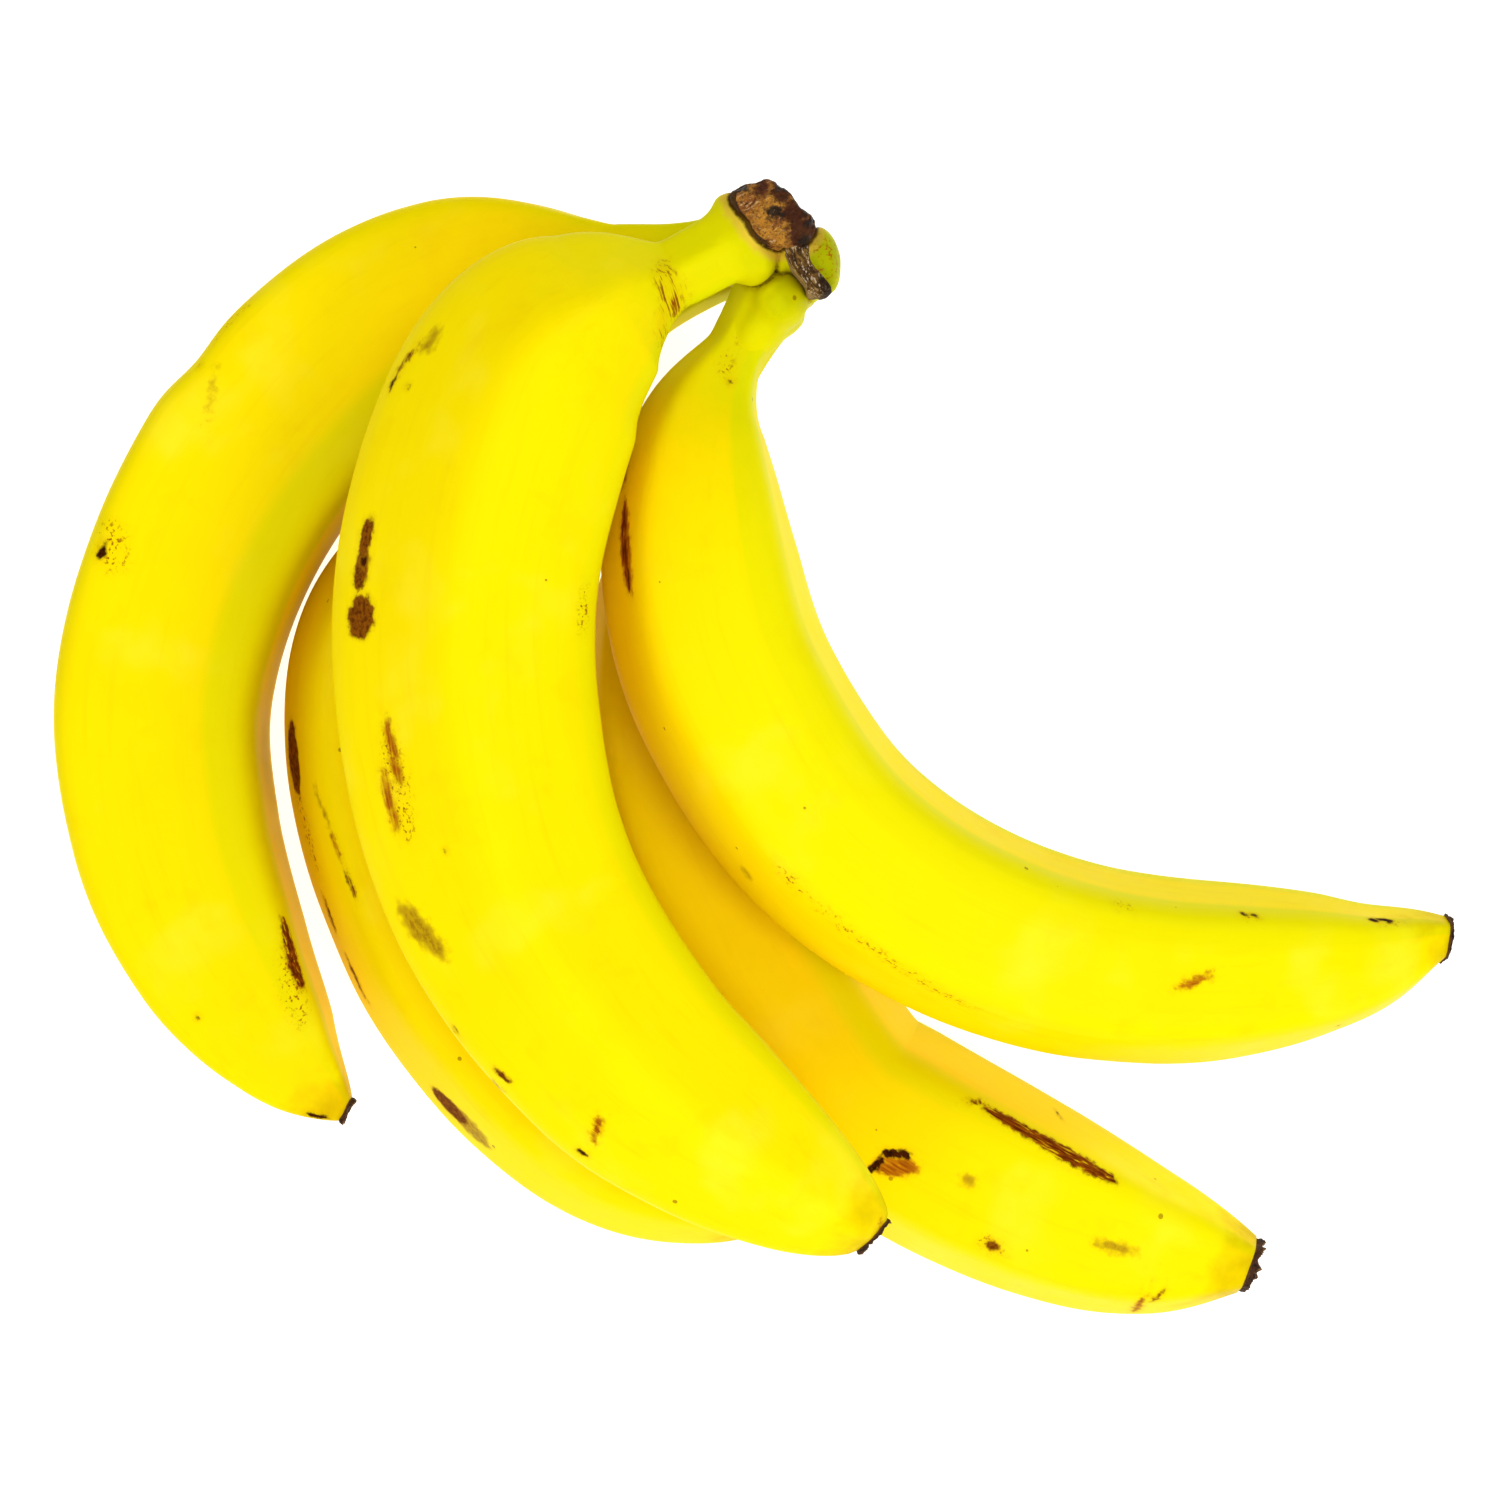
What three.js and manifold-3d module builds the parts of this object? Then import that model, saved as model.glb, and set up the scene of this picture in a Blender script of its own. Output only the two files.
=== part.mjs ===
// A bunch of five ripe bananas lying on its side, in millimetres, +Z up.
// The origin is on the surface, under the middle of the bunch. Three fingers leave the crown
// towards -X and two towards -Y. The left, the under-left and the under-right finger lie on the
// surface; the centre finger lies over the under-left one and the right finger over the
// under-right one.
import * as THREE from 'three';
import { mergeVertices } from 'three/addons/utils/BufferGeometryUtils.js';
import Module from 'manifold-3d';

const wasm = await Module();
wasm.setup();

// ---- Driving dimensions ----
const GAP = 0.3; // clearance between bodies that touch
const CORNERS = 20; // corners round a finger
const RINGS = 40; // steps along a finger
const END_CROWDING = 0.07; // how much closer the rings stand at a finger's two ends
const FACE_DEPTH = 0.92; // distance of a finger's flat faces from its middle, over its girth
const RIDGE_SHARPNESS = 8; // exponent that rounds the five ridges off
const NECK_FLARE_LENGTH = 0.03; // share of the finger over which the neck flares at the crown
const SHOULDER_SWELL = 1.35; // exponent of the swelling from the neck to the full girth
const SLANT_GROWTH = 36; // exponent of the share of the length, for a tip cut off at a slant
const LINE_TENSION = 0.5; // tension of the Catmull-Rom curve along a finger's middle
const LINE_DIVISIONS = 400; // samples by which distances along a middle line are measured
const SAME_POINT = 1e-4; // corners closer than this are one

// Each finger: half-widths of neck, full girth and tip; the neck's flare at the crown; where the
// neck ends and how long the shoulder is, as shares of the length; bluntness and rounding of the
// tip, and the slant of its end face towards the inner side; how much more the girth grows towards
// the tip; the directions its five faces look in, in degrees, with 0 on the inner side of the bend
// and 90 up; their twist from neck to tip; and the middle line.
const FINGERS = {
  left: {
    neck: 5.2, girth: 18.6, tip: 2.2, flare: 0.1, neckEnd: 0.095, shoulder: 0.1, blunt: 9.4,
    rounding: 0.92, slant: -0.3, lean: -0.05, faces: [3, 90, 177, 238, 302], twist: 0,
    path: [
      [-1.5, 79.5, 31], [-12, 78.5, 29.5], [-26, 78.5, 26], [-46.5, 74.5, 21.5],
      [-66.5, 62, 18], [-85, 39, 16.5], [-94.5, 11.5, 16], [-93, -13, 16],
      [-85.4, -33.3, 16.5], [-75.1, -48.7, 17.5], [-65.4, -58.2, 18],
    ],
  },
  under_left: {
    neck: 5.4, girth: 17, tip: 4, flare: 0.1, neckEnd: 0.13, shoulder: 0.12, blunt: 6.4,
    rounding: 0.7, slant: 0.1, lean: 0.02, faces: [10, 82, 154, 226, 298], twist: 0,
    path: [
      [-1.5, 80.5, 17], [-15.5, 72.5, 17], [-24.5, 64, 16], [-33.5, 50.5, 15],
      [-46, 32.5, 14.5], [-57, 17, 14.5], [-58.5, -1, 14.5], [-53.5, -21.5, 14.5],
      [-43, -42.5, 14.5], [-22.5, -64, 15], [4, -74.5, 15.5],
    ],
  },
  centre: {
    neck: 5.4, girth: 20, tip: 3.4, flare: 0.12, neckEnd: 0.07, shoulder: 0.072, blunt: 5.7,
    rounding: 0.7, slant: 0.16, lean: -0.01, faces: [-12, 60, 122, 196, 268], twist: 0,
    path: [
      [0.2, 79.4, 49], [-9.5, 73.8, 50.3], [-22, 67.4, 52], [-34, 55, 53.5],
      [-42, 29, 54.5], [-42, 3, 54.5], [-35.5, -21.5, 53.5], [-22, -42.5, 51.5],
      [-8, -55.7, 49.5], [18.7, -74.6, 47.5],
    ],
  },
  under_right: {
    neck: 5.2, girth: 16, tip: 4.3, flare: 0.1, neckEnd: 0.11, shoulder: 0.135, blunt: 10.9,
    rounding: 1.04, slant: 0.12, lean: 0.28, faces: [18, 90, 162, 234, 306], twist: 0,
    path: [
      [3.8, 72, 24], [-3.2, 61.3, 19.5], [-7, 50.3, 17], [-12, 34, 15],
      [-14.5, 18, 14.5], [-13.5, 2, 14.5], [-8, -15.5, 14.5], [1.5, -34, 14.5],
      [14, -54, 15], [24, -61.5, 15], [42.5, -71.5, 15], [61.7, -79.3, 15], [80.7, -83.7, 16],
    ],
  },
  right: {
    neck: 4.3, girth: 16.2, tip: 3.7, flare: 0.3, neckEnd: 0.05, shoulder: 0.097, blunt: 10.8,
    rounding: 1.07, slant: 0.35, lean: -0.15, faces: [8, 84, 152, 220, 292], twist: 12,
    path: [
      [3.5, 70.6, 41], [-1, 64.1, 41.5], [-7.2, 50.8, 42.5], [-7.5, 29, 44],
      [-1.5, 8.5, 44.5], [14, -14, 43], [37, -28.5, 39], [63.5, -35, 33],
      [93.3, -34.1, 27.5], [111, -30.3, 25],
    ],
  },
};

// The crown is an upright pad that all five necks grow out of.
const CROWN = { x: 4.6, y: 77.3, bottom: 9, top: 55, halfLength: 10.6, halfWidth: 4.4, turn: -49 };
const CROWN_SQUARENESS = 2.6; // exponent of the pad's plan outline; 2 is an ellipse
const CROWN_CORNERS = 24;
const CROWN_STEPS = 12;
// Size of the pad's plan and share of its height, from its foot to its upper end
const CROWN_PROFILE = [[0.5, 0], [0.72, 0.12], [0.82, 0.4], [0.96, 0.75], [1, 0.9], [0.9, 1]];
const ROOT_LENGTH = 5; // how far a neck's root reaches into the pad
const ROOT_END_SIZE = 0.7; // size of a root inside the pad, over the neck's
const ROOT_CORNERS = 16;
const NECK_ROOM = 0.07; // share of a finger over which the pad is cut clear of its neck
const NECK_ROOM_STEPS = 4;

// Dried cuts on the crown. The two on its upper end are outlines seen from above: a smooth scab
// where the neighbouring cluster was cut away, and a strip of torn fibres beside it. The third
// is the long cut that parted the bunch from its stalk, on the flank away from the fingers.
const SCAB = {
  thickness: 2.2,
  outline: [
    [-1.4, 86], [3, 86.9], [6.4, 85.4], [7.6, 83.1], [10.4, 80.2], [8.9, 77.3],
    [6.1, 76.7], [2.7, 76.7], [0.3, 78.5], [-0.8, 80.5], [-2.3, 82.3], [-3, 84.6],
  ],
};
const FIBRES = {
  thickness: 1.6,
  outline: [
    [5.2, 76.2], [8.8, 76.4], [9, 75.2], [9.5, 74.2], [10.8, 72.4], [12.4, 70.3],
    [10.6, 69.3], [8.6, 69.6], [7.4, 71.8], [6.4, 73.6],
  ],
};
const CUT_BEVEL = 1 / 3; // height and width of a plate's rounded edge, over its thickness
const CUT_BEVEL_STEPS = 2;
const STALK_CUT = { thickness: 1.5, length: 15, height: 36, corner: 4, cornerSteps: 4 };

// The dried flower end at each tip: a short crust, a little wider at its rim, which is ragged in
// plan and wavy in height. Its middle is hollow: it rises to a share of the rim's height.
const BLOSSOM = { length: 2, corners: 12, steps: 2, footSize: 0.88, rimSize: 1.02, middle: 0.6 };
const BLOSSOM_LOBES = [{ count: 3, depth: 0.08 }, { count: 5, depth: 0.06 }];
const BLOSSOM_RIM_WAVES = { count: 4, depth: 0.15 };

const CENTRING = { x: -1.2, y: 1.6 }; // moves the bunch so that its middle is over the origin

const SKIN = { color: '#f7e600', roughness: 0.42, metalness: 0 };
const CROWN_SKIN = { color: '#c9cc20', roughness: 0.55, metalness: 0 };
const DRIED_CUT = { color: '#5c3a1c', roughness: 0.85, metalness: 0 };
const DRIED_BLOSSOM = { color: '#2e1d10', roughness: 0.9, metalness: 0 };

// ---- Helpers ----
const radians = THREE.MathUtils.degToRad;

function material(name, look) {
  return new THREE.MeshStandardMaterial({ name, ...look });
}

function merged(geometry) {
  const bare = geometry.clone();
  bare.deleteAttribute('normal');
  bare.deleteAttribute('uv');
  return mergeVertices(bare, SAME_POINT);
}

function toSolid(geometry) {
  const shape = merged(geometry);
  return new wasm.Manifold(new wasm.Mesh({
    numProp: 3,
    vertProperties: new Float32Array(shape.attributes.position.array),
    triVerts: new Uint32Array(shape.index.array),
  }));
}

function toGeometry(solid) {
  const mesh = solid.getMesh();
  const geometry = new THREE.BufferGeometry();
  geometry.setAttribute('position', new THREE.BufferAttribute(mesh.vertProperties, 3));
  geometry.setIndex(new THREE.BufferAttribute(mesh.triVerts, 1));
  geometry.computeVertexNormals();
  return geometry;
}

// A closed unit cylinder whose every point is moved to place(along, angle, out), with along
// running from 0 to 1 and out from 0 in the middle of its two end faces to 1 on its wall.
function wrapCylinder(corners, steps, place) {
  const geometry = merged(new THREE.CylinderGeometry(1, 1, 1, corners, steps));
  const position = geometry.attributes.position;
  const point = new THREE.Vector3();
  for (let i = 0; i < position.count; i += 1) {
    point.fromBufferAttribute(position, i);
    const out = Math.hypot(point.x, point.z);
    place(point.y + 0.5, Math.atan2(-point.z, point.x), out, point);
    position.setXYZ(i, point.x, point.y, point.z);
  }
  geometry.computeVertexNormals();
  return geometry;
}

// ---- Fingers ----
function middleLine(finger) {
  const points = finger.path.map((place) => new THREE.Vector3(...place));
  const line = new THREE.CatmullRomCurve3(points, false, 'catmullrom', LINE_TENSION);
  line.arcLengthDivisions = LINE_DIVISIONS;
  return line;
}

// Half-width of a finger at a share of its length: a slim neck that flares at the crown, a
// shoulder, the full girth, and a taper to the tip.
function halfWidth(finger, along) {
  const flare = 1 + finger.flare * Math.exp(-along / NECK_FLARE_LENGTH);
  const past = Math.max(0, (along - finger.neckEnd) / finger.shoulder);
  const swell = 1 - Math.exp(-(past ** SHOULDER_SWELL));
  const end = finger.tip / finger.girth;
  const taper = end + (1 - end) * (1 - along ** finger.blunt) ** finger.rounding;
  const lean = 1 + finger.lean * (along - 0.5);
  return (finger.neck * flare + (finger.girth - finger.neck) * swell) * taper * lean;
}

// Distance of the skin from the middle line, over the half-width: five faces that meet in
// rounded ridges.
function facedOutline(finger, along, angle) {
  let sum = 0;
  for (const face of finger.faces) {
    const facing = Math.cos(angle - radians(face + finger.twist * along));
    sum += Math.max(0, facing) ** RIDGE_SHARPNESS;
  }
  return FACE_DEPTH * sum ** (-1 / RIDGE_SHARPNESS);
}

// Unit vectors at a share of the length: along the finger, to the inner side of its bend, and up.
function frameAt(line, along) {
  const forward = line.getTangentAt(along);
  const inner = new THREE.Vector3(0, 0, 1).cross(forward).normalize();
  const up = forward.clone().cross(inner);
  return { forward, inner, up };
}

// How far forward a point moves where the tip is cut off at a slant.
function slanted(finger, along, angle, reach) {
  return finger.slant * reach * Math.cos(angle) * along ** SLANT_GROWTH;
}

function fingerGeometry(finger) {
  const line = middleLine(finger);
  return wrapCylinder(CORNERS, RINGS, (step, angle, out, point) => {
    const along = step - END_CROWDING * Math.sin(2 * Math.PI * step);
    const { forward, inner, up } = frameAt(line, along);
    const reach = out * halfWidth(finger, along) * facedOutline(finger, along, angle);
    point.copy(line.getPointAt(along));
    point.addScaledVector(forward, slanted(finger, along, angle, reach));
    point.addScaledVector(inner, reach * Math.cos(angle));
    point.addScaledVector(up, reach * Math.sin(angle));
    point.z = Math.max(0, point.z); // the belly is pressed flat where it lies on the surface
  });
}

// The crust at a finger's tip, with a ragged outline and a hollow middle.
function blossomGeometry(finger) {
  const line = middleLine(finger);
  const end = line.getPointAt(1);
  const { forward, inner, up } = frameAt(line, 1);
  return wrapCylinder(BLOSSOM.corners, BLOSSOM.steps, (step, angle, out, point) => {
    let ragged = 1;
    for (const { count, depth } of BLOSSOM_LOBES) {
      ragged += depth * Math.sin(count * angle + finger.girth);
    }
    const size = THREE.MathUtils.lerp(BLOSSOM.footSize, BLOSSOM.rimSize, step);
    const reach = out * finger.tip * size * ragged;
    const rim = 1 + BLOSSOM_RIM_WAVES.depth * Math.sin(BLOSSOM_RIM_WAVES.count * angle);
    const rise = THREE.MathUtils.lerp(BLOSSOM.middle, rim, out);
    const height = GAP + step * rise * BLOSSOM.length;
    point.copy(end).addScaledVector(forward, height + slanted(finger, 1, angle, reach));
    point.addScaledVector(inner, reach * Math.cos(angle));
    point.addScaledVector(up, reach * Math.sin(angle));
  });
}

// ---- Crown ----
function crownPad() {
  const turn = radians(CROWN.turn);
  const profile = new THREE.SplineCurve(CROWN_PROFILE.map((pair) => new THREE.Vector2(...pair)));
  return wrapCylinder(CROWN_CORNERS, CROWN_STEPS, (step, angle, out, point) => {
    const { x: size, y: rise } = profile.getPoint(step);
    const cos = Math.cos(angle);
    const sin = Math.sin(angle);
    const square = (Math.abs(cos) ** CROWN_SQUARENESS + Math.abs(sin) ** CROWN_SQUARENESS)
      ** (-1 / CROWN_SQUARENESS);
    const x = out * size * square * cos * CROWN.halfLength;
    const y = out * size * square * sin * CROWN.halfWidth;
    point.set(
      CROWN.x + x * Math.cos(turn) - y * Math.sin(turn),
      CROWN.y + x * Math.sin(turn) + y * Math.cos(turn),
      CROWN.bottom + rise * (CROWN.top - CROWN.bottom),
    );
  });
}

// The root of a neck: it starts inside the pad and ends in a flat face just short of the neck.
function neckRoot(finger) {
  const line = middleLine(finger);
  const start = line.getPointAt(0);
  const { forward, inner, up } = frameAt(line, 0);
  const size = halfWidth(finger, 0);
  return wrapCylinder(ROOT_CORNERS, 1, (step, angle, out, point) => {
    const narrowing = ROOT_END_SIZE + (1 - ROOT_END_SIZE) * step;
    const reach = out * size * narrowing * facedOutline(finger, 0, angle);
    point.copy(start).addScaledVector(forward, -GAP - (1 - step) * ROOT_LENGTH);
    point.addScaledVector(inner, reach * Math.cos(angle));
    point.addScaledVector(up, reach * Math.sin(angle));
  });
}

// The room that the pad leaves round the start of a neck.
function neckRoom(finger) {
  const line = middleLine(finger);
  return wrapCylinder(CORNERS, NECK_ROOM_STEPS, (step, angle, out, point) => {
    const along = step * NECK_ROOM;
    const { forward, inner, up } = frameAt(line, along);
    const reach = out * (GAP + halfWidth(finger, along) * facedOutline(finger, along, angle));
    point.copy(line.getPointAt(along));
    if (step === 0) point.addScaledVector(forward, -GAP);
    point.addScaledVector(inner, reach * Math.cos(angle));
    point.addScaledVector(up, reach * Math.sin(angle));
  });
}

function crownGeometry() {
  const fingers = Object.values(FINGERS);
  let solid = toSolid(crownPad());
  for (const finger of fingers) solid = solid.add(toSolid(neckRoot(finger)));
  for (const finger of fingers) solid = solid.subtract(toSolid(neckRoom(finger)));
  return toGeometry(solid);
}

// A dried plate on the pad's upper end.
function cutGeometry({ outline, thickness }) {
  const shape = new THREE.Shape(outline.map(([x, y]) => new THREE.Vector2(x, y)));
  const bevel = thickness * CUT_BEVEL;
  const geometry = new THREE.ExtrudeGeometry(shape, {
    depth: thickness - 2 * bevel,
    bevelThickness: bevel,
    bevelSize: bevel,
    bevelOffset: -bevel,
    bevelSegments: CUT_BEVEL_STEPS,
  });
  return geometry.translate(0, 0, CROWN.top + GAP + bevel);
}

function stalkCutGeometry() {
  const { thickness, length, height, corner, cornerSteps } = STALK_CUT;
  const shape = new THREE.Shape();
  shape.absarc(length / 2 - corner, height / 2 - corner, corner, 0, Math.PI / 2);
  shape.absarc(corner - length / 2, height / 2 - corner, corner, Math.PI / 2, Math.PI);
  shape.absarc(corner - length / 2, corner - height / 2, corner, Math.PI, 1.5 * Math.PI);
  shape.absarc(length / 2 - corner, corner - height / 2, corner, 1.5 * Math.PI, 2 * Math.PI);
  const geometry = new THREE.ExtrudeGeometry(shape, {
    depth: thickness,
    bevelEnabled: false,
    curveSegments: cornerSteps,
  });
  geometry.rotateX(Math.PI / 2); // the plate stands up, with its back on the pad's flank
  geometry.translate(0, thickness + CROWN.halfWidth + GAP, (CROWN.top + CROWN.bottom) / 2);
  geometry.rotateZ(radians(CROWN.turn));
  return geometry.translate(CROWN.x, CROWN.y, 0);
}

// ---- The bunch ----
const bunch = new THREE.Group();
bunch.position.set(CENTRING.x, CENTRING.y, 0);

function addNode(name, geometry, look) {
  const mesh = new THREE.Mesh(geometry, look);
  mesh.name = name;
  bunch.add(mesh);
}

for (const [place, finger] of Object.entries(FINGERS)) {
  addNode(`finger_${place}`, fingerGeometry(finger), material(`skin_${place}`, SKIN));
  addNode(`blossom_${place}`, blossomGeometry(finger), material(`blossom_${place}`, DRIED_BLOSSOM));
}
addNode('crown', crownGeometry(), material('crown_skin', CROWN_SKIN));
addNode('crown_scab', cutGeometry(SCAB), material('dried_scab', DRIED_CUT));
addNode('crown_fibres', cutGeometry(FIBRES), material('dried_fibres', DRIED_CUT));
addNode('crown_stalk_cut', stalkCutGeometry(), material('dried_stalk_cut', DRIED_CUT));

export default bunch;
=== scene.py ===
"""A bunch of five ripe bananas lying on its side: fingers, flower ends, crown and its cuts."""
import random

import bmesh
import bpy
import numpy as np
from mathutils import Matrix, Vector, noise
from mathutils.kdtree import KDTree


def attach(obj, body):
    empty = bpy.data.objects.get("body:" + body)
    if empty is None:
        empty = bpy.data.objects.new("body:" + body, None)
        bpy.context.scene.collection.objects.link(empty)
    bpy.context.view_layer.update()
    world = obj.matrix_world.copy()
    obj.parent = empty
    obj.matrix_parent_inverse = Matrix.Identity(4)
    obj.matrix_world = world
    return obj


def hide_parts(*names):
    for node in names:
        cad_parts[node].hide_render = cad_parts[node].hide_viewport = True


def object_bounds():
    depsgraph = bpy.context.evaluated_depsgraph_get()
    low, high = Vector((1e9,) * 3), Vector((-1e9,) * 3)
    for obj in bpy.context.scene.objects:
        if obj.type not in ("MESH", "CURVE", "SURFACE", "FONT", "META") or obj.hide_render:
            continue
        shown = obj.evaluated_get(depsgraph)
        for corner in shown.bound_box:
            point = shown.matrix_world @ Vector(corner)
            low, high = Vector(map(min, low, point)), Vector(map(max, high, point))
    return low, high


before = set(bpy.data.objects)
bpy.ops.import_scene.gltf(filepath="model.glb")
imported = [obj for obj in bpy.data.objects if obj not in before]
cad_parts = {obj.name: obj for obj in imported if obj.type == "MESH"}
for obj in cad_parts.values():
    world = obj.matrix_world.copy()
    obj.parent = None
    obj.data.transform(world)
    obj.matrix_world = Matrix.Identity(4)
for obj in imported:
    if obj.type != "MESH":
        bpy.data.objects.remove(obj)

cad_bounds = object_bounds()  # nothing that is made below stands out of this box

MM = 0.001  # every size below is in millimetres
SEED = 7

# ---- Fingers: the same driving dimensions as the solids ----
# Half-widths at the neck, the middle and the tip; where along it the neck ends and how long the
# shoulder is; how the taper, the slanted end and the lean go; the directions that its faces look
# in, in degrees, with their twist; and the points that its middle line runs through.
CENTRING = np.array([-1.2, 1.6, 0.0])
FACE_DEPTH = 0.92  # distance of a face from the middle line, over that of a round finger
RIDGE_SHARPNESS = 9
NECK_FLARE_LENGTH = 0.03  # share of the finger
SHOULDER_SWELL = 1.35
SLANT_GROWTH = 36
MIDDLE_LINE_STEPS = 2000
NUDGE = 2e-3  # share of the finger over which its direction is taken

FINGERS = {
    "left": dict(
        neck=5.2, girth=18.6, tip=2.2, flare=0.1, neck_end=0.095, shoulder=0.1, blunt=9.4,
        rounding=0.92, slant=-0.3, lean=-0.05, faces=(3, 90, 177, 238, 302), twist=0,
        path=[(-1.5, 79.5, 31), (-12, 78.5, 29.5), (-26, 78.5, 26), (-46.5, 74.5, 21.5),
              (-66.5, 62, 18), (-85, 39, 16.5), (-94.5, 11.5, 16), (-93, -13, 16),
              (-85.4, -33.3, 16.5), (-75.1, -48.7, 17.5), (-65.4, -58.2, 18)]),
    "under_left": dict(
        neck=5.4, girth=17, tip=4, flare=0.1, neck_end=0.13, shoulder=0.12, blunt=6.4,
        rounding=0.7, slant=0.1, lean=0.02, faces=(10, 82, 154, 226, 298), twist=0,
        path=[(-1.5, 80.5, 17), (-15.5, 72.5, 17), (-24.5, 64, 16), (-33.5, 50.5, 15),
              (-46, 32.5, 14.5), (-57, 17, 14.5), (-58.5, -1, 14.5), (-53.5, -21.5, 14.5),
              (-43, -42.5, 14.5), (-22.5, -64, 15), (4, -74.5, 15.5)]),
    "centre": dict(
        neck=5.4, girth=20, tip=3.4, flare=0.12, neck_end=0.07, shoulder=0.072, blunt=5.7,
        rounding=0.7, slant=0.16, lean=-0.01, faces=(-12, 60, 122, 196, 268), twist=0,
        path=[(0.2, 79.4, 49), (-9.5, 73.8, 50.3), (-22, 67.4, 52), (-34, 55, 53.5),
              (-42, 29, 54.5), (-42, 3, 54.5), (-35.5, -21.5, 53.5), (-22, -42.5, 51.5),
              (-8, -55.7, 49.5), (18.7, -74.6, 47.5)]),
    "under_right": dict(
        neck=5.2, girth=16, tip=4.3, flare=0.1, neck_end=0.11, shoulder=0.135, blunt=10.9,
        rounding=1.04, slant=0.12, lean=0.28, faces=(18, 90, 162, 234, 306), twist=0,
        path=[(3.8, 72, 24), (-3.2, 61.3, 19.5), (-7, 50.3, 17), (-12, 34, 15),
              (-14.5, 18, 14.5), (-13.5, 2, 14.5), (-8, -15.5, 14.5), (1.5, -34, 14.5),
              (14, -54, 15), (24, -61.5, 15), (42.5, -71.5, 15), (61.7, -79.3, 15),
              (80.7, -83.7, 16)]),
    "right": dict(
        neck=4.3, girth=16.2, tip=3.7, flare=0.3, neck_end=0.05, shoulder=0.097, blunt=10.8,
        rounding=1.07, slant=0.35, lean=-0.15, faces=(8, 84, 152, 220, 292), twist=12,
        path=[(3.5, 70.6, 41), (-1, 64.1, 41.5), (-7.2, 50.8, 42.5), (-7.5, 29, 44),
              (-1.5, 8.5, 44.5), (14, -14, 43), (37, -28.5, 39), (63.5, -35, 33),
              (93.3, -34.1, 27.5), (111, -30.3, 25)]),
}

AROUND = 144  # faces round a finger
ALONG = 360  # faces along a finger, its two closed ends included
END_ROWS = 6  # rows that close each end
END_BULGE = 0.02  # how far a closed end stands out, over its half-width
WAVES = ((34, 0.35), (11, 0.12))  # size and height of the peel's slow unevenness
WAVES_FULL = 12  # half-width from which that unevenness has its full height
PEEL_SINKING = 0.15  # keeps its swellings within the finger's size
RIDGE_GREEN = {"left": 0.9, "under_left": 1, "centre": 1, "under_right": 1, "right": 1.5}
RIDGE_GREENEST = np.radians(40)  # the direction round a finger where its ridge is greenest
RIDGE_GREEN_LEAST = 0.3  # what is left of that green on the other ridges
PAINTED_SHADE_REACH = 24  # how near other fingers the peel gets a deeper golden painted shade
PAINTED_SHADE_STEPS = 60  # places on another finger that the distance for that painted shade is taken to

# Dents of a finger: distance from the crown end, direction round the finger in degrees (0 on the
# inner side of the bend, 90 up), length, width and depth; a negative depth is a swelling.
DENTS = {
    "left": [(84, 145, 5, 9, 0.9), (91, 140, 5, 7, -0.4)],
    "under_left": [],
    "centre": [(72, 144, 9, 5, 0.3)],
    "under_right": [(190, 20, 7, 8, 0.5)],
    "right": [(187, 10, 5, 8, 0.3), (195, 12, 5, 8, -0.4)],
}

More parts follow.
